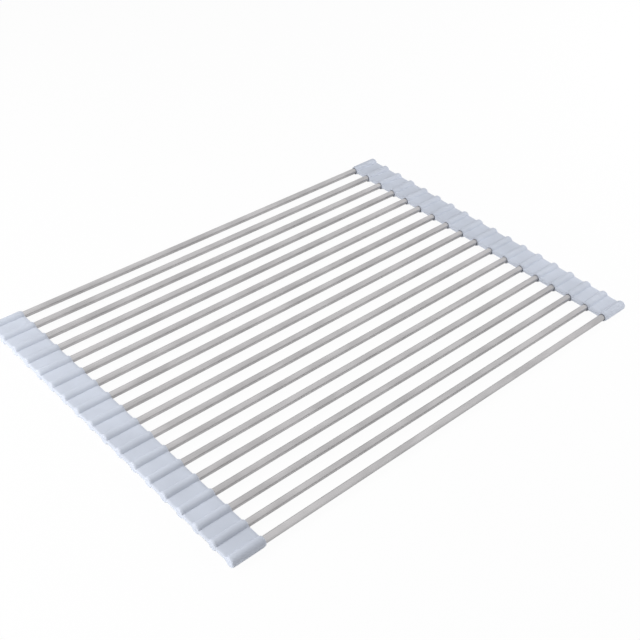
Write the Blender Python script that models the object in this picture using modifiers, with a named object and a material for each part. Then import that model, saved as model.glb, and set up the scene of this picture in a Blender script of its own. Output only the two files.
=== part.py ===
"""Roll up dish drying rack, lying flat.

Stainless steel tubes lie side by side between two moulded silicone end strips. A strip is a row of blind
round sockets joined by thin flat webs, and the webs bend, so the rack rolls up for storage. A solid can't
bend, so each strip is made here as one link for each rod, and neighbouring links meet in the middle of a web,
on the axis about which that web bends.

+X runs along the rods and +Z is up. The origin is the middle of the underside. Rod 1 is the furthest in +Y.
All lengths are in metres and all angles in radians.
"""

import math

import bmesh
import bpy

# Overall
RACK_LENGTH = 0.456  # along the rods, over both strips
ROD_COUNT = 18
ROD_PITCH = 0.0189  # from one rod's axis to the next

# Rods
ROD_RADIUS = 0.003
ROD_WALL = 0.0005

# Silicone strips
STRIP_WIDTH = 0.030  # along the rods
SOCKET_WALL = 0.00125  # silicone round the bore
ROD_FIT = 0.00025  # all round the rod, inside its socket
SOCKET_END_WALL = 0.003  # silicone past the end of the bore
ROD_END_GAP = 0.0003  # between the rod's end and the bottom of its socket
WEB_THICKNESS = 0.0036
WEB_FILLET = 0.0008  # where a web runs into a socket
END_CHAMFER = 0.0007  # round the closed outer face
FOOT_WIDTH = 0.003  # the flat under each socket that the rack stands on

# Rolled up
CORE_RADIUS = 0.017  # of the innermost turn, at the rods' axes
TURN_CLEARANCE = 0.002  # between the sockets of one turn and the next
FOLD_CLEARANCE = 0.0003  # between two links at the sharpest bend

# Fineness of the round stretches
ROUND_SIDES = 16
SOCKET_ARC_STEP = math.radians(16)
SMALL_ARC_STEP = math.radians(45)
SHARP_ANGLE = math.radians(30)  # an edge that turns by more is drawn sharp
RIM_ANGLE = math.radians(45)  # an edge that turns by more is on a link's rim
WELD_SHARE = 0.001  # of a wall: points closer than this are one point

# Worked out from the values above
QUARTER_TURN = math.pi / 2
BORE_RADIUS = ROD_RADIUS + ROD_FIT
SOCKET_RADIUS = BORE_RADIUS + SOCKET_WALL
SOCKET_DEPTH = STRIP_WIDTH - SOCKET_END_WALL
BARE_LENGTH = RACK_LENGTH - 2 * STRIP_WIDTH  # the rods' length between the strips
ROD_LENGTH = BARE_LENGTH + 2 * (SOCKET_DEPTH - ROD_END_GAP)
AXIS_HEIGHT = math.sqrt(SOCKET_RADIUS**2 - (FOOT_WIDTH / 2) ** 2)
STRIP_CENTRE = (RACK_LENGTH - STRIP_WIDTH) / 2
FIRST_ROD_Y = ROD_PITCH * (ROD_COUNT - 1) / 2
TURN_SPACING = 2 * SOCKET_RADIUS + TURN_CLEARANCE


def bend_angle(web):
    """How far a web bends when the rack is rolled up. Webs count from 1, at the outside of the roll."""
    from_free_end = (ROD_COUNT - web - 0.5) * ROD_PITCH
    radius = math.sqrt(CORE_RADIUS**2 + TURN_SPACING * from_free_end / math.pi)
    return ROD_PITCH / radius


SHARPEST_BEND = bend_angle(ROD_COUNT - 1)
LINK_GAP = WEB_THICKNESS * (1 / math.cos(SHARPEST_BEND / 2) - 1) + FOLD_CLEARANCE


def named_collection(name):
    collection = bpy.data.collections.new(name)
    bpy.context.scene.collection.children.link(collection)
    return collection


def plain_material(name, colour, roughness, metallic):
    material = bpy.data.materials.new(name)
    material.use_nodes = True
    shader = material.node_tree.nodes["Principled BSDF"]
    shader.inputs["Base Color"].default_value = (*colour, 1)
    shader.inputs["Roughness"].default_value = roughness
    shader.inputs["Metallic"].default_value = metallic
    return material


def arc(centre, radius, start, end, step):
    """Points from one angle to another, both included, no further apart than step."""
    count = math.ceil(abs(end - start) / step)
    turns = [start + (end - start) * i / count for i in range(count + 1)]
    return [(centre[0] + radius * math.cos(a), centre[1] + radius * math.sin(a)) for a in turns]


def half_outline(with_web):
    """One side of a link's outline, from its foot up to the top of its socket. The rod's axis is at zero."""
    foot_edge = math.asin(FOOT_WIDTH / 2 / SOCKET_RADIUS) - QUARTER_TURN
    if not with_web:
        return arc((0, 0), SOCKET_RADIUS, foot_edge, QUARTER_TURN, SOCKET_ARC_STEP)
    fillet_reach = SOCKET_RADIUS + WEB_FILLET
    fillet_height = WEB_THICKNESS / 2 + WEB_FILLET
    fillet_angle = math.asin(fillet_height / fillet_reach)
    fillet_x = fillet_reach * math.cos(fillet_angle)
    tip_x = (ROD_PITCH - LINK_GAP - WEB_THICKNESS) / 2
    below = arc((fillet_x, -fillet_height), WEB_FILLET, math.pi - fillet_angle, QUARTER_TURN, SMALL_ARC_STEP)
    above = [(x, -y) for x, y in reversed(below)]
    return (
        arc((0, 0), SOCKET_RADIUS, foot_edge, -fillet_angle, SOCKET_ARC_STEP)[:-1]
        + below
        + arc((tip_x, 0), WEB_THICKNESS / 2, -QUARTER_TURN, QUARTER_TURN, SMALL_ARC_STEP)
        + above
        + arc((0, 0), SOCKET_RADIUS, fillet_angle, QUARTER_TURN, SOCKET_ARC_STEP)[1:]
    )


def link_mesh(name, web_ahead, web_behind):
    """A link without its bore: an outline in X and Y, with a web at +X, at -X or both, and its mouth at +Z.

    Each end is closed with one face, because a filled curve makes flat slivers between the two webs.
    """
    ahead = half_outline(web_ahead)
    behind = [(-x, y) for x, y in reversed(half_outline(web_behind)[:-1])]
    outline = ahead + behind
    curve = bpy.data.curves.new(name, "CURVE")
    curve.dimensions = "2D"
    curve.fill_mode = "NONE"
    curve.extrude = STRIP_WIDTH / 2
    spline = curve.splines.new("POLY")
    spline.points.add(len(outline) - 1)
    for point, (x, y) in zip(spline.points, outline):
        point.co = (x, y, 0, 1)
    spline.use_cyclic_u = True
    guide = bpy.data.objects.new(name + "_outline", curve)
    bpy.context.scene.collection.objects.link(guide)
    graph = bpy.context.evaluated_depsgraph_get()
    mesh = bpy.data.meshes.new_from_object(guide.evaluated_get(graph))
    mesh.name = name
    bpy.data.objects.remove(guide)
    bpy.data.curves.remove(curve)

    shape = bmesh.new()
    shape.from_mesh(mesh)
    bmesh.ops.remove_doubles(shape, verts=shape.verts, dist=WEB_THICKNESS * WELD_SHARE)
    bmesh.ops.holes_fill(shape, edges=shape.edges)
    bmesh.ops.recalc_face_normals(shape, faces=shape.faces)
    outer_rim = [
        edge
        for edge in shape.edges
        if len(edge.link_faces) == 2
        and all(vert.co.z < 0 for vert in edge.verts)
        and edge.calc_face_angle() > RIM_ANGLE
    ]
    bmesh.ops.bevel(shape, geom=outer_rim, offset=END_CHAMFER, segments=1, affect="EDGES")
    shape.to_mesh(mesh)
    shape.free()
    mesh.shade_smooth()
    mesh.set_sharp_from_angle(angle=SHARP_ANGLE)
    return mesh


def tube_mesh():
    """The turned profile of a rod, with its axis on Z. It runs down its outer side and up its inner one."""
    outer = ROD_RADIUS
    inner = ROD_RADIUS - ROD_WALL
    half = ROD_LENGTH / 2
    corners = [(outer, 0, half), (outer, 0, -half), (inner, 0, -half), (inner, 0, half)]
    sides = [(0, 1), (1, 2), (2, 3), (3, 0)]
    mesh = bpy.data.meshes.new("tube_wall")
    mesh.from_pydata(corners, sides, [])
    return mesh


def add_object(name, data, collection, parent, location, rotation=(0, 0, 0)):
    obj = bpy.data.objects.new(name, data)
    collection.objects.link(obj)
    obj.parent = parent
    obj.location = location
    obj.rotation_euler = rotation
    return obj


def add_hinge(web, parts, parent, location):
    """An empty on a web's bending axis. It turns about X, by no more than the web bends in the roll."""
    hinge = add_object(f"roll_hinge_{web:02d}", None, parts, parent, location)
    hinge.empty_display_size = ROD_PITCH / 2
    limit = hinge.constraints.new("LIMIT_ROTATION")
    limit.owner_space = "LOCAL"
    limit.use_limit_x = True
    limit.min_x = -bend_angle(web)
    limit.max_x = 0
    return hinge


def add_rod(number, mesh, material, parts, parent, location):
    rod = add_object(f"rod_{number:02d}", mesh, parts, parent, location, (0, QUARTER_TURN, 0))
    turn = rod.modifiers.new("turn", "SCREW")
    turn.axis = "Z"
    turn.steps = ROUND_SIDES
    turn.render_steps = ROUND_SIDES
    turn.use_merge_vertices = True
    turn.merge_threshold = ROD_WALL * WELD_SHARE
    turn.use_smooth_shade = True
    rod.material_slots[0].link = "OBJECT"
    rod.material_slots[0].material = material
    return rod


def add_bore_cutter(number, cutters, parent, location):
    """Cuts the left and the right socket of one rod. It ends where each socket's outer wall begins."""
    bpy.ops.mesh.primitive_cylinder_add(
        vertices=ROUND_SIDES, radius=BORE_RADIUS, depth=BARE_LENGTH + 2 * SOCKET_DEPTH
    )
    cutter = bpy.context.object
    cutter.name = f"bore_cutter_{number:02d}"
    for collection in list(cutter.users_collection):
        collection.objects.unlink(cutter)
    cutters.objects.link(cutter)
    cutter.parent = parent
    cutter.location = location
    cutter.rotation_euler = (0, QUARTER_TURN, 0)
    cutter.hide_render = True
    cutter.display_type = "WIRE"
    return cutter


def add_link(name, mesh, material, cutter, parts, parent, location, heading):
    link = add_object(name, mesh, parts, parent, location, (QUARTER_TURN, 0, heading))
    bore = link.modifiers.new("bore", "BOOLEAN")
    bore.operation = "DIFFERENCE"
    bore.object = cutter
    link.material_slots[0].link = "OBJECT"
    link.material_slots[0].material = material
    return link


def build_rack():
    for obj in list(bpy.data.objects):
        bpy.data.objects.remove(obj)
    parts = named_collection("roll_up_drying_rack")
    cutters = named_collection("cutters")

    stainless = plain_material("stainless_steel", (0.49, 0.48, 0.49), 0.3, 1)
    silicone = plain_material("blue_grey_silicone", (0.53, 0.58, 0.66), 0.55, 0)

    tube = tube_mesh()
    both_webs = link_mesh("link_with_two_webs", True, True)
    web_ahead = link_mesh("link_with_web_ahead", True, False)
    web_behind = link_mesh("link_with_web_behind", False, True)
    for mesh in (tube, both_webs, web_ahead, web_behind):
        mesh.materials.append(None)

    # A left link's mouth faces +X and what is ahead of it lies at +Y. A right link is the same, turned round.
    carrier = add_object("rack", None, parts, None, (0, 0, 0))
    at = (0, FIRST_ROD_Y, AXIS_HEIGHT)
    for number in range(1, ROD_COUNT + 1):
        if number == 1:
            left_mesh, right_mesh = web_behind, web_ahead
        elif number == ROD_COUNT:
            left_mesh, right_mesh = web_ahead, web_behind
        else:
            left_mesh, right_mesh = both_webs, both_webs
        cutter = add_bore_cutter(number, cutters, carrier, at)
        add_rod(number, tube, stainless, parts, carrier, at)
        for side, mesh, direction in (("left", left_mesh, -1), ("right", right_mesh, 1)):
            name = f"{side}_link_{number:02d}"
            link_at = (direction * STRIP_CENTRE, at[1], at[2])
            add_link(name, mesh, silicone, cutter, parts, carrier, link_at, -direction * QUARTER_TURN)
        if number == ROD_COUNT:
            break
        if number == 1:
            hinge_at = (0, FIRST_ROD_Y - ROD_PITCH / 2, AXIS_HEIGHT)
        else:
            hinge_at = (0, -ROD_PITCH, 0)
        carrier = add_hinge(number, parts, carrier, hinge_at)
        at = (0, -ROD_PITCH / 2, 0)


build_rack()
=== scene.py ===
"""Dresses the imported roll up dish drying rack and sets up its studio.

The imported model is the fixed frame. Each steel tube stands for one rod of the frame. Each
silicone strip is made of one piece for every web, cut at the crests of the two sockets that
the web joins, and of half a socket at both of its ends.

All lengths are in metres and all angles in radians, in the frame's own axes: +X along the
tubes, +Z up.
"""

import math

import bmesh
import bpy
from bpy.props import FloatProperty, FloatVectorProperty, IntProperty, PointerProperty
from mathutils import Matrix, Vector


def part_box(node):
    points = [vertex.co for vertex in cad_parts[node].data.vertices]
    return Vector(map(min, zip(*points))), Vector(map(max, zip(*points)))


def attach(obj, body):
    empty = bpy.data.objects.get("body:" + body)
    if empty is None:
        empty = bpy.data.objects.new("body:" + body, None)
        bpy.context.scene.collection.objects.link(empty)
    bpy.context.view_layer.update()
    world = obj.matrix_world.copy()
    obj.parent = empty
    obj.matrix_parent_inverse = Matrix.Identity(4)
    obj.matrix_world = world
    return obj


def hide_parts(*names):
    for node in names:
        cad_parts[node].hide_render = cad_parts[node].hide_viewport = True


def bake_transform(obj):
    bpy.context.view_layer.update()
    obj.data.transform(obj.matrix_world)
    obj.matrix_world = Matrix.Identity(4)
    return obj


bl_info = {
    "name": "Roll Up Drying Rack",
    "version": (1, 0, 0),
    "blender": (4, 5, 0),
    "location": "3D View > Sidebar > Drying Rack",
    "description": "Steel tubes, silicone end strips and a studio for a roll up dish drying rack",
    "category": "Add Mesh",
}

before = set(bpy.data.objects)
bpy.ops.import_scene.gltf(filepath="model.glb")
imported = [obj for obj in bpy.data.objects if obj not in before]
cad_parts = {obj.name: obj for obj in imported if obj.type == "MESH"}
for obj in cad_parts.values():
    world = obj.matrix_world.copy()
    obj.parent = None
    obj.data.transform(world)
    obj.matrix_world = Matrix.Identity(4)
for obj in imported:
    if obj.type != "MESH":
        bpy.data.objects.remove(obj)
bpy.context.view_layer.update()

# Measured on the frame
ROD_COUNT = sum(name.startswith("rod_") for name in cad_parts)
ROD_BOXES = [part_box(f"rod_{number:02d}") for number in range(1, ROD_COUNT + 1)]
ROD_PLACES = [(low + high) / 2 for low, high in ROD_BOXES]
ROD_PITCH = ROD_PLACES[0].y - ROD_PLACES[1].y
AXIS_HEIGHT = ROD_PLACES[0].z
ROD_LENGTH = ROD_BOXES[0][1].x - ROD_BOXES[0][0].x
ROD_DIAMETER = ROD_BOXES[0][1].z - ROD_BOXES[0][0].z
LINK_LOW, LINK_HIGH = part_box("left_link_01")
SOCKET_RADIUS = LINK_HIGH.y - ROD_PLACES[0].y
STRIP_WIDTH = LINK_HIGH.x - LINK_LOW.x
STRIP_END = -LINK_LOW.x  # how far each strip's closed face is from the middle

QUARTER_TURN = math.pi / 2
WELD = 1e-7  # points closer than this are one point
SMOOTH_ANGLE = math.radians(40)  # an edge that turns by more is sharp

# How finely the round stretches are drawn, in steps
SOCKET_STEPS = 14
FILLET_STEPS = 8
WEB_STEPS = 10
EDGE_STEPS = 6
LIP_STEPS = 3

NOSE_CURVE = 4 / 3  # 1 is an ellipse, and 2 a straight taper

# Each noise: its scale along every axis, how fine it is, and its levels of detail
BRUSH_MARKS = (0.02, 1, 1), 2600, 3
STEEL_CLOUDS = (0.35, 1, 1), 90, 2
SILICONE_CLOUDS = (1, 1, 1), 35, 3
SILICONE_GRAIN = (1, 1, 1), 2400, 2
NOISE_SPREAD = 0.3, 0.7  # most of a noise's values lie between these

STEEL_CLOUD_EDGES = 0.35, 0.65  # of the noise, where the clouding begins and ends
STEEL_SHADES = 0.9, 1.08  # times the steel's colour
ROUGHNESS_DRIFT = 0.06  # of the silicone, either way
SILICONE_IOR = 1.41
FLOOR_ROUGHNESS = 0.9
WHITE = (1, 1, 1, 1)


class RackRodSettings(bpy.types.PropertyGroup):
    """The steel tubes."""

    wall: FloatProperty(
        name="Wall", description="Thickness of a tube's wall", default=0.0005, unit="LENGTH"
    )
    end_rounding: FloatProperty(
        name="End Rounding", description="Radius round a tube's cut ends", default=0.00015,
        unit="LENGTH",
    )
    sides: IntProperty(name="Sides", description="Flat sides round a tube", default=48, min=12)
    colour: FloatVectorProperty(
        name="Colour", description="Reflection of the steel", default=(0.51, 0.5, 0.505),
        subtype="COLOR",
    )
    smooth_roughness: FloatProperty(
        name="Smoothest", description="Roughness where the brushing is faint", default=0.24,
        subtype="FACTOR",
    )
    brushed_roughness: FloatProperty(
        name="Roughest", description="Roughness in the deepest brush marks", default=0.42,
        subtype="FACTOR",
    )
    brush_depth: FloatProperty(
        name="Brush Depth", description="Depth of the brush marks", default=0.000012,
        unit="LENGTH",
    )


class RackStripSettings(bpy.types.PropertyGroup):
    """The silicone end strips."""

    web_thickness: FloatProperty(
        name="Web", description="Thickness of the web between two sockets", default=0.0036,
        unit="LENGTH",
    )
    web_fillet: FloatProperty(
        name="Web Fillet", description="Radius where a web runs into a socket", default=0.0002,
        unit="LENGTH",
    )
    cap_length: FloatProperty(
        name="Cap Length", description="How far from the closed face the outer edge is rounded",
        default=0.002, unit="LENGTH",
    )
    cap_depth: FloatProperty(
        name="Cap Depth", description="How far the outer edge rounds in at the closed face",
        default=0.0012, unit="LENGTH",
    )
    nose_length: FloatProperty(
        name="Nose Length", description="How far from the mouths a socket tapers",
        default=0.003, unit="LENGTH",
    )
    nose_depth: FloatProperty(
        name="Nose Depth", description="How far a socket tapers in at its mouth",
        default=0.0007, unit="LENGTH",
    )
    mouth_gap: FloatProperty(
        name="Mouth Gap", description="Gap all round a tube in the mouth of its socket",
        default=0.0003, unit="LENGTH",
    )
    mouth_depth: FloatProperty(
        name="Mouth Depth", description="How deep a socket's wide mouth is", default=0.004,
        unit="LENGTH",
    )
    mouth_rounding: FloatProperty(
        name="Mouth Rounding", description="Radius round the mouth of each socket",
        default=0.0002, unit="LENGTH",
    )
    bore_clearance: FloatProperty(
        name="Bore Clearance", description="Gap all round a tube further in",
        default=0.00005, unit="LENGTH",
    )
    end_wall: FloatProperty(
        name="End Wall", description="Silicone past the end of a tube", default=0.003,
        unit="LENGTH",
    )
    colour: FloatVectorProperty(
        name="Colour", description="Pale blue grey of the silicone", default=(0.6, 0.64, 0.727),
        subtype="COLOR",
    )
    cloud_share: FloatProperty(
        name="Clouding", description="How far the colour drifts across a strip", default=0.05,
        subtype="FACTOR",
    )
    roughness: FloatProperty(
        name="Roughness", description="Roughness of the moulded surface", default=0.52,
        subtype="FACTOR",
    )
    grain_depth: FloatProperty(
        name="Grain Depth", description="Depth of the moulded grain", default=0.00001,
        unit="LENGTH",
    )


class RackStageSettings(bpy.types.PropertyGroup):
    """The floor, the light and the camera."""

    floor_size: FloatProperty(
        name="Floor", description="Length of the floor's sides", default=12.0, unit="LENGTH"
    )
    floor_colour: FloatVectorProperty(
        name="Floor Colour", description="Colour of the floor", default=(0.9, 0.9, 0.9),
        subtype="COLOR",
    )
    floor_glow: FloatProperty(
        name="Floor White", description="How much of the floor shows as plain white",
        default=0.96, subtype="FACTOR",
    )
    floor_mirrored: FloatProperty(
        name="Mirrored White", description="How much of it shows so in reflections",
        default=0.4, subtype="FACTOR",
    )
    room_light: FloatProperty(
        name="Room Light", description="Even light from all round", default=0.1
    )
    lamp_size: FloatProperty(
        name="Lamp Size", description="Length of a lamp's sides", default=0.6, unit="LENGTH"
    )
    left_power: FloatProperty(
        name="Left Power", description="Power of the left lamp", default=5.4, unit="POWER"
    )
    left_place: FloatVectorProperty(
        name="Left Place", description="Where the left lamp hangs", default=(-0.95, 0, 0.31),
        subtype="TRANSLATION",
    )
    back_power: FloatProperty(
        name="Back Power", description="Power of the back lamp", default=5.1, unit="POWER"
    )
    back_place: FloatVectorProperty(
        name="Back Place", description="Where the back lamp hangs", default=(-0.5, 0.5, 0.707),
        subtype="TRANSLATION",
    )
    right_power: FloatProperty(
        name="Right Power", description="Power of the right lamp", default=3.6, unit="POWER"
    )
    right_place: FloatVectorProperty(
        name="Right Place", description="Where the right lamp hangs", default=(0.906, 0, 0.423),
        subtype="TRANSLATION",
    )
    front_power: FloatProperty(
        name="Front Power", description="Power of the front lamp", default=4.2, unit="POWER"
    )
    front_place: FloatVectorProperty(
        name="Front Place", description="Where the front lamp hangs",
        default=(0.641, -0.641, 0.423), subtype="TRANSLATION",
    )
    lens: FloatProperty(name="Lens", description="Focal length in millimetres", default=59.46)
    camera_place: FloatVectorProperty(
        name="Camera Place", description="Where the camera is",
        default=(-0.5111, -0.5194, 0.5797), subtype="TRANSLATION",
    )
    camera_turn: FloatVectorProperty(
        name="Camera Turn", description="Rotation of the camera",
        default=(0.8979, -0.0503, -0.7394), subtype="EULER",
    )


def arc(centre, radius, start, end, steps):
    """Points in even steps from one angle to another, both included."""
    turns = [start + (end - start) * step / steps for step in range(steps + 1)]
    return [(centre[0] + radius * math.cos(a), centre[1] + radius * math.sin(a)) for a in turns]


def crest_to(end, radius):
    """A socket's upper side, from its crest down to an angle.

    The crest itself is flat for half a step, so that two halves meet without a ridge.
    """
    step = (QUARTER_TURN - end) / (SOCKET_STEPS - 0.5)
    first = QUARTER_TURN - step / 2
    side = arc((0, 0), radius, first, end, SOCKET_STEPS - 1)
    return [(0, side[0][1]), *side]


def foot_to(end, radius, inset):
    """A socket's lower side, from its flat foot up to an angle."""
    depth = AXIS_HEIGHT - inset
    foot_edge = -math.asin(depth / radius)
    return [(0, -depth), *arc((0, 0), radius, foot_edge, end, SOCKET_STEPS - 1)]


def fillet_place(settings):
    """The middle of the fillet over a web, from the tube's axis, and its angle seen from there."""
    reach = SOCKET_RADIUS + settings.web_fillet
    height = settings.web_thickness / 2 + settings.web_fillet
    lean = math.asin(height / reach)
    return (reach * math.cos(lean), height), lean


def half_section(settings, inset, with_web):
    """The upper and the lower line of a strip, from a tube's axis to the middle of the next web.

    An inset draws the same outline further in. Without a web, both lines end on the socket's
    side.
    """
    radius = SOCKET_RADIUS - inset
    if not with_web:
        return crest_to(0, radius), foot_to(0, radius, inset)
    centre, lean = fillet_place(settings)
    fillet = arc(
        centre, settings.web_fillet + inset, math.pi + lean, 3 * QUARTER_TURN, FILLET_STEPS
    )
    web_start, web_height = fillet[-1]
    flat = [
        (web_start + (ROD_PITCH / 2 - web_start) * step / WEB_STEPS, web_height)
        for step in range(1, WEB_STEPS + 1)
    ]
    joined = [*fillet[1:], *flat]
    upper = [*crest_to(lean, radius), *joined]
    lower = [*foot_to(-lean, radius, inset), *((u, -v) for u, v in joined)]
    return upper, lower


def outline_stations(settings):
    """Distance from the closed face and inset of the outline there, up to the open face."""
    cap, nose = [], []
    for step in range(EDGE_STEPS + 1):
        turn = QUARTER_TURN * step / EDGE_STEPS
        along, across = math.sin(turn), math.cos(turn)
        cap.append((settings.cap_length * (1 - across), settings.cap_depth * (1 - along)))
        short = settings.nose_length * (1 - along**NOSE_CURVE)
        nose.append((STRIP_WIDTH - short, settings.nose_depth * (1 - across**NOSE_CURVE)))
    return cap + nose


def bore_stations(settings):
    """Distance from the closed face and radius of the bore there, from the open face inwards."""
    radius = ROD_DIAMETER / 2 + settings.bore_clearance
    mouth = ROD_DIAMETER / 2 + settings.mouth_gap
    lip = settings.mouth_rounding
    stations = []
    for step in range(LIP_STEPS, -1, -1):
        turn = QUARTER_TURN * step / LIP_STEPS
        distance = STRIP_WIDTH - lip * (1 - math.sin(turn))
        stations.append((distance, mouth + lip * (1 - math.cos(turn))))
    narrow = STRIP_WIDTH - settings.mouth_depth
    stations += [
        (narrow, mouth),
        (narrow - (mouth - radius), radius),
        (settings.end_wall, radius),
    ]
    return stations


def half_strip(shape, settings, with_web):
    """Half of a socket, with half of its web or without. It is open at the middle of the web.

    X runs from the tube's axis towards the web, Y from the closed face to the open one, and Z
    is up.
    """
    rings = []
    for distance, inset in outline_stations(settings):
        lines = half_section(settings, inset, with_web)
        rings.append([[shape.verts.new((u, distance, v)) for u, v in line] for line in lines])
    bores = []
    for distance, radius in bore_stations(settings):
        lines = [
            arc((0, 0), radius, start, 0, SOCKET_STEPS) for start in (QUARTER_TURN, -QUARTER_TURN)
        ]
        bores.append([[shape.verts.new((u, distance, v)) for u, v in line] for line in lines])

    def skin(near, far):
        for i in range(len(near) - 1):
            shape.faces.new((near[i], near[i + 1], far[i + 1], far[i]))

    for level in (0, 1):
        for near, far in zip(rings, rings[1:]):
            skin(near[level], far[level])
        for near, far in zip(bores, bores[1:]):
            skin(near[level], far[level])
        # The open face round the mouth
        skin(bores[0][level], rings[-1][level][: SOCKET_STEPS + 1])
    # The closed face
    skin(rings[0][0], rings[0][1])
    # The open face of the web, and the corner between it and the mouth
    skin(rings[-1][0][SOCKET_STEPS:], rings[-1][1][SOCKET_STEPS:])
    if with_web:
        corners = [line[SOCKET_STEPS] for line in rings[-1]]
        shape.faces.new((bores[0][0][-1], *corners))
    # The bore's end
    shape.faces.new([*bores[-1][0], *reversed(bores[-1][1])])
    # The cut through the crest, the bore and the foot
    crest = [ring[0][0] for ring in rings]
    foot = [ring[1][0] for ring in rings]
    bore_top = [ring[0][0] for ring in bores]
    bore_bottom = [ring[1][0] for ring in bores]
    shape.faces.new([*crest, *bore_top, *reversed(bore_bottom), *reversed(foot)])


def strip_mesh(name, settings, with_web):
    """A closed piece of a strip: a web with half a socket at both sides, or only half a socket."""
    shape = bmesh.new()
    half_strip(shape, settings, with_web)
    if with_web:
        every_part = shape.verts[:] + shape.edges[:] + shape.faces[:]
        for item in bmesh.ops.duplicate(shape, geom=every_part)["geom"]:
            if isinstance(item, bmesh.types.BMVert):
                item.co.x = ROD_PITCH - item.co.x
    bmesh.ops.remove_doubles(shape, verts=shape.verts, dist=WELD)
    bmesh.ops.dissolve_degenerate(shape, edges=shape.edges, dist=WELD)
    bmesh.ops.recalc_face_normals(shape, faces=shape.faces)
    return finish_mesh(name, shape)


def finish_mesh(name, shape):
    """A mesh from a closed shape, with smooth shading between its sharp edges."""
    if not all(edge.is_manifold for edge in shape.edges):
        raise RuntimeError(f"{name} isn't closed")
    mesh = bpy.data.meshes.new(name)
    shape.to_mesh(mesh)
    shape.free()
    mesh.shade_smooth()
    mesh.set_sharp_from_angle(angle=SMOOTH_ANGLE)
    return mesh


def rod_mesh(name, settings):
    """A tube along X with its middle at zero, open at both ends, and its cut edges rounded."""
    outer = ROD_DIAMETER / 2
    inner = outer - settings.wall
    edge = settings.end_rounding
    end = ROD_LENGTH / 2
    corner = edge * (1 - math.cos(QUARTER_TURN / 2))
    profile = [
        (end - edge, outer), (end - corner, outer - corner), (end, outer - edge),
        (end, inner + edge), (end - corner, inner + corner), (end - edge, inner),
    ]
    profile += [(-x, radius) for x, radius in reversed(profile)]
    shape = bmesh.new()
    rings = []
    for side in range(settings.sides):
        turn = 2 * math.pi * side / settings.sides
        up, across = math.sin(turn), math.cos(turn)
        rings.append([shape.verts.new((x, radius * across, radius * up)) for x, radius in profile])
    for here, there in zip(rings, rings[1:] + rings[:1]):
        for i in range(len(profile)):
            after = (i + 1) % len(profile)
            shape.faces.new((here[i], here[after], there[after], there[i]))
    bmesh.ops.recalc_face_normals(shape, faces=shape.faces)
    return finish_mesh(name, shape)


def place_mesh(name, pattern, matrix):
    """An object whose mesh is a copy of the pattern, moved to its place.

    Its normals are weighted by the size of its faces, so that the flat ones look flat.
    """
    mesh = pattern.copy()
    mesh.name = name
    mesh.transform(matrix)
    if matrix.determinant() < 0:
        mesh.flip_normals()
    piece = bpy.data.objects.new(name, mesh)
    bpy.context.scene.collection.objects.link(piece)
    weighting = piece.modifiers.new("weighting", "WEIGHTED_NORMAL")
    weighting.keep_sharp = True
    graph = bpy.context.evaluated_depsgraph_get()
    piece.data = bpy.data.meshes.new_from_object(piece.evaluated_get(graph))
    piece.data.name = name
    piece.modifiers.clear()
    bpy.data.meshes.remove(mesh)
    return piece


def add_strip(settings, side, direction, silicone):
    """Makes one strip: the far half socket, the near half socket, and the webs between them."""
    web_pattern = strip_mesh("web_pattern", settings, True)
    end_pattern = strip_mesh("end_pattern", settings, False)

    def lay(towards, number):
        """From a pattern's axes to the frame's: X turns to -Y or +Y, the closed face outside."""
        at = ROD_PLACES[number - 1]
        turn = Matrix(((0, -direction, 0, 0), (towards, 0, 0, 0), (0, 0, 1, 0), (0, 0, 0, 1)))
        return Matrix.Translation((direction * STRIP_END, at.y, at.z)) @ turn

    pieces = []
    for place, number, towards in (("far", 1, 1), ("near", ROD_COUNT, -1)):
        end = place_mesh(f"{side}_strip_{place}_end", end_pattern, lay(towards, number))
        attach(end, f"bar_{number:02d}")
        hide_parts(f"{side}_link_{number:02d}")
        pieces.append(end)
    (rigid, _), _ = fillet_place(settings)
    for number in range(1, ROD_COUNT):
        web = place_mesh(f"{side}_strip_web_{number:02d}", web_pattern, lay(-1, number))
        start, end = ROD_PLACES[number - 1].copy(), ROD_PLACES[number].copy()
        start.y -= rigid
        end.y += rigid
        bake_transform(web)
        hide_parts(f"{side}_link_{number:02d}", f"{side}_link_{number + 1:02d}")
        pieces.append(web)
    for piece in pieces:
        piece.data.materials.clear()
        piece.data.materials.append(silicone)
    bpy.data.meshes.remove(web_pattern)
    bpy.data.meshes.remove(end_pattern)


def new_material(name):
    """A node material, its nodes, its links and its Principled shader."""
    material = bpy.data.materials.new(name)
    material.use_nodes = True
    nodes = material.node_tree.nodes
    return material, nodes, material.node_tree.links, nodes["Principled BSDF"]


def noise_on_object(nodes, links, stretch, scale, detail):
    """Noise fixed to the rack's own axes. A stretch below one draws it out along that axis."""
    place = nodes.new("ShaderNodeTexCoord")
    mapping = nodes.new("ShaderNodeMapping")
    mapping.inputs["Scale"].default_value = stretch
    noise = nodes.new("ShaderNodeTexNoise")
    noise.inputs["Scale"].default_value = scale
    noise.inputs["Detail"].default_value = detail
    links.new(place.outputs["Object"], mapping.inputs["Vector"])
    links.new(mapping.outputs["Vector"], noise.inputs["Vector"])
    return noise.outputs["Fac"]


def shades_between(nodes, links, factor, edges, colour, shades):
    """The colour times the first shade below the edges, times the second one above them."""
    ramp = nodes.new("ShaderNodeValToRGB")
    for element, edge, shade in zip(ramp.color_ramp.elements, edges, shades):
        element.position = edge
        element.color = (*(shade * c for c in colour), 1)
    links.new(factor, ramp.inputs["Fac"])
    return ramp.outputs["Color"]


def range_between(nodes, links, factor, low, high):
    """A noise's values, spread from low to high."""
    spread = nodes.new("ShaderNodeMapRange")
    spread.inputs["From Min"].default_value = NOISE_SPREAD[0]
    spread.inputs["From Max"].default_value = NOISE_SPREAD[1]
    spread.inputs["To Min"].default_value = low
    spread.inputs["To Max"].default_value = high
    links.new(factor, spread.inputs["Value"])
    return spread.outputs["Result"]


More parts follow.
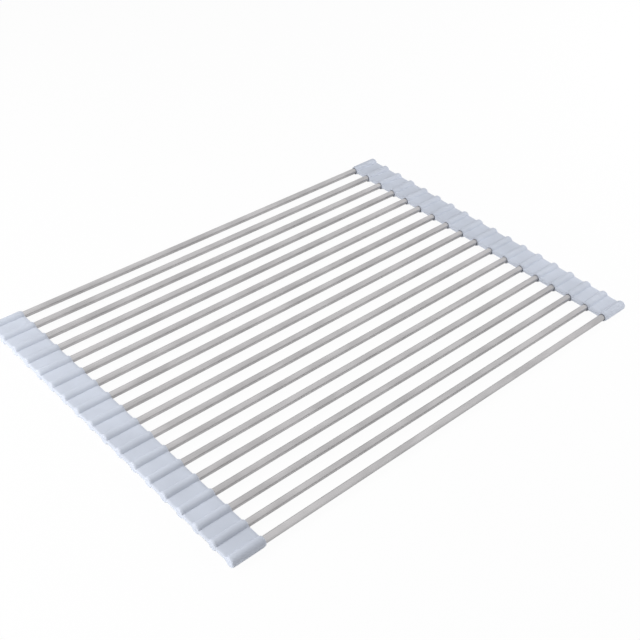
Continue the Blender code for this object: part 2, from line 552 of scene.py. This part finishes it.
def bump_from(nodes, links, height, depth, shader):
    """Bumps on the shader's surface, as deep as the depth where the height is one."""
    bump = nodes.new("ShaderNodeBump")
    bump.inputs["Strength"].default_value = 1
    bump.inputs["Distance"].default_value = depth
    links.new(height, bump.inputs["Height"])
    links.new(bump.outputs["Normal"], shader.inputs["Normal"])


def steel_material(settings):
    """Stainless steel, brushed along the tube, with faint clouding from polishing."""
    steel, nodes, links, shader = new_material("brushed_stainless")
    shader.inputs["Metallic"].default_value = 1
    brush = noise_on_object(nodes, links, *BRUSH_MARKS)
    cloud = noise_on_object(nodes, links, *STEEL_CLOUDS)
    base = shades_between(nodes, links, cloud, STEEL_CLOUD_EDGES, settings.colour, STEEL_SHADES)
    links.new(base, shader.inputs["Base Color"])
    smoothest, roughest = settings.smooth_roughness, settings.brushed_roughness
    rough = range_between(nodes, links, brush, smoothest, roughest)
    links.new(rough, shader.inputs["Roughness"])
    bump_from(nodes, links, brush, settings.brush_depth, shader)
    return steel


def silicone_material(settings):
    """Moulded silicone: satin, slightly clouded, with a fine even grain."""
    silicone, nodes, links, shader = new_material("blue_grey_silicone_satin")
    cloud = noise_on_object(nodes, links, *SILICONE_CLOUDS)
    grain = noise_on_object(nodes, links, *SILICONE_GRAIN)
    shades = 1 - settings.cloud_share, 1 + settings.cloud_share
    base = shades_between(nodes, links, cloud, NOISE_SPREAD, settings.colour, shades)
    links.new(base, shader.inputs["Base Color"])
    smoothest = settings.roughness - ROUGHNESS_DRIFT
    roughest = settings.roughness + ROUGHNESS_DRIFT
    rough = range_between(nodes, links, grain, smoothest, roughest)
    links.new(rough, shader.inputs["Roughness"])
    shader.inputs["IOR"].default_value = SILICONE_IOR
    bump_from(nodes, links, grain, settings.grain_depth, shader)
    return silicone


def maths(nodes, links, operation, first, second):
    """A maths node. The first value is an output, the second an output or a number."""
    node = nodes.new("ShaderNodeMath")
    node.operation = operation
    links.new(first, node.inputs[0])
    if isinstance(second, float):
        node.inputs[1].default_value = second
    else:
        links.new(second, node.inputs[1])
    return node.outputs[0]


def share_seen(nodes, links, direct, mirrored):
    """How much of a plain white is seen by the camera, and in metal and glass.

    Rays that carry light see none of it.
    """
    path = nodes.new("ShaderNodeLightPath")
    glossy, clear = path.outputs["Is Glossy Ray"], path.outputs["Is Transmission Ray"]
    seen = maths(nodes, links, "MULTIPLY", path.outputs["Is Camera Ray"], direct)
    bent = maths(nodes, links, "MAXIMUM", glossy, clear)
    return maths(nodes, links, "MAXIMUM", seen, maths(nodes, links, "MULTIPLY", bent, mirrored))


def floor_material(settings):
    """A pale floor that shows as nearly white with some shadow, and is clear from below."""
    floor, nodes, links, shader = new_material("pale_floor")
    shader.inputs["Base Color"].default_value = (*settings.floor_colour, 1)
    shader.inputs["Roughness"].default_value = FLOOR_ROUGHNESS
    shader.inputs["Specular IOR Level"].default_value = 0
    glow = nodes.new("ShaderNodeEmission")
    mix = nodes.new("ShaderNodeMixShader")
    white_share = share_seen(nodes, links, settings.floor_glow, settings.floor_mirrored)
    links.new(white_share, mix.inputs["Fac"])
    links.new(shader.outputs["BSDF"], mix.inputs[1])
    links.new(glow.outputs["Emission"], mix.inputs[2])
    below = nodes.new("ShaderNodeNewGeometry")
    clear = nodes.new("ShaderNodeBsdfTransparent")
    sides = nodes.new("ShaderNodeMixShader")
    links.new(below.outputs["Backfacing"], sides.inputs["Fac"])
    links.new(mix.outputs["Shader"], sides.inputs[1])
    links.new(clear.outputs["BSDF"], sides.inputs[2])
    links.new(sides.outputs["Shader"], nodes["Material Output"].inputs["Surface"])
    return floor


def light_room(settings):
    """An even white room: plain white where it is seen or reflected, and softer as light."""
    world = bpy.data.worlds.new("white_room")
    bpy.context.scene.world = world
    world.use_nodes = True
    nodes, links = world.node_tree.nodes, world.node_tree.links
    light = nodes["Background"]
    light.inputs["Color"].default_value = WHITE
    light.inputs["Strength"].default_value = settings.room_light
    shown = nodes.new("ShaderNodeBackground")
    shown.inputs["Color"].default_value = WHITE
    shown.inputs["Strength"].default_value = 1
    mix = nodes.new("ShaderNodeMixShader")
    links.new(share_seen(nodes, links, 1.0, 1.0), mix.inputs["Fac"])
    links.new(light.outputs["Background"], mix.inputs[1])
    links.new(shown.outputs["Background"], mix.inputs[2])
    links.new(mix.outputs["Shader"], nodes["World Output"].inputs["Surface"])


def add_lamp(name, power, size, place, mirrored):
    """A square soft lamp that points at the middle of the rack.

    Metal and other glossy surfaces show it only where it is mirrored.
    """
    lamp = bpy.data.lights.new(name, "AREA")
    lamp.size = size
    lamp.energy = power
    holder = bpy.data.objects.new(name, lamp)
    holder.location = place
    holder.rotation_euler = (-Vector(place)).to_track_quat("-Z", "Y").to_euler()
    holder.visible_camera = False
    holder.visible_glossy = mirrored
    bpy.context.scene.collection.objects.link(holder)


class RACK_OT_rods(bpy.types.Operator):
    """Makes the steel tubes, one for each rod of the frame"""

    bl_idname = "rack.rods"
    bl_label = "Steel Tubes"

    def execute(self, context):
        settings = context.scene.rack_rods
        steel = steel_material(settings)
        pattern = rod_mesh("tube_pattern", settings)
        for number, place in enumerate(ROD_PLACES, 1):
            rod = place_mesh(f"steel_tube_{number:02d}", pattern, Matrix.Translation(place))
            rod.data.materials.append(steel)
            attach(rod, f"bar_{number:02d}")
            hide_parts(f"rod_{number:02d}")
        bpy.data.meshes.remove(pattern)
        return {"FINISHED"}


class RACK_OT_strips(bpy.types.Operator):
    """Makes the left and the right silicone strip, with one piece for every web"""

    bl_idname = "rack.strips"
    bl_label = "Silicone Strips"

    def execute(self, context):
        settings = context.scene.rack_strips
        silicone = silicone_material(settings)
        add_strip(settings, "left", -1, silicone)
        add_strip(settings, "right", 1, silicone)
        return {"FINISHED"}


class RACK_OT_stage(bpy.types.Operator):
    """Makes the pale floor, the soft light and the camera"""

    bl_idname = "rack.stage"
    bl_label = "Stage"

    def execute(self, context):
        settings = context.scene.rack_stage
        shape = bmesh.new()
        bmesh.ops.create_grid(shape, x_segments=1, y_segments=1, size=settings.floor_size / 2)
        mesh = bpy.data.meshes.new("floor")
        shape.to_mesh(mesh)
        shape.free()
        mesh.materials.append(floor_material(settings))
        floor = bpy.data.objects.new("floor", mesh)
        context.scene.collection.objects.link(floor)
        light_room(settings)

        size = settings.lamp_size
        add_lamp("left_lamp", settings.left_power, size, settings.left_place, False)
        add_lamp("back_lamp", settings.back_power, size, settings.back_place, True)
        add_lamp("right_lamp", settings.right_power, size, settings.right_place, False)
        add_lamp("front_lamp", settings.front_power, size, settings.front_place, False)

        camera = bpy.data.objects.new("camera", bpy.data.cameras.new("camera"))
        camera.data.lens = settings.lens
        camera.location = settings.camera_place
        camera.rotation_euler = settings.camera_turn
        context.scene.collection.objects.link(camera)
        context.scene.camera = camera
        context.scene.view_settings.view_transform = "Standard"
        return {"FINISHED"}


class RACK_PT_sidebar(bpy.types.Panel):
    """Lists the rack's pieces, its sizes and its colours"""

    bl_idname = "RACK_PT_sidebar"
    bl_label = "Drying Rack"
    bl_space_type = "VIEW_3D"
    bl_region_type = "UI"
    bl_category = "Drying Rack"

    def draw(self, context):
        for operator, group in OPERATORS:
            box = self.layout.box()
            box.operator(operator.bl_idname)
            settings = getattr(context.scene, group)
            for name in settings.__annotations__:
                box.prop(settings, name)


OPERATORS = (
    (RACK_OT_rods, "rack_rods"),
    (RACK_OT_strips, "rack_strips"),
    (RACK_OT_stage, "rack_stage"),
)
SETTINGS = (
    ("rack_rods", RackRodSettings),
    ("rack_strips", RackStripSettings),
    ("rack_stage", RackStageSettings),
)
CLASSES = (
    RackRodSettings,
    RackStripSettings,
    RackStageSettings,
    RACK_OT_rods,
    RACK_OT_strips,
    RACK_OT_stage,
    RACK_PT_sidebar,
)


def register():
    """Adds the operators and the panel to Blender, and the settings to its scenes."""
    for cls in CLASSES:
        bpy.utils.register_class(cls)
    for name, group in SETTINGS:
        setattr(bpy.types.Scene, name, PointerProperty(type=group))


def unregister():
    """Takes away what register added."""
    for name, _ in SETTINGS:
        delattr(bpy.types.Scene, name)
    for cls in reversed(CLASSES):
        bpy.utils.unregister_class(cls)


def main():
    """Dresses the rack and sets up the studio."""
    register()
    bpy.ops.rack.rods()
    bpy.ops.rack.strips()
    bpy.ops.rack.stage()


if __name__ == "__main__":
    main()
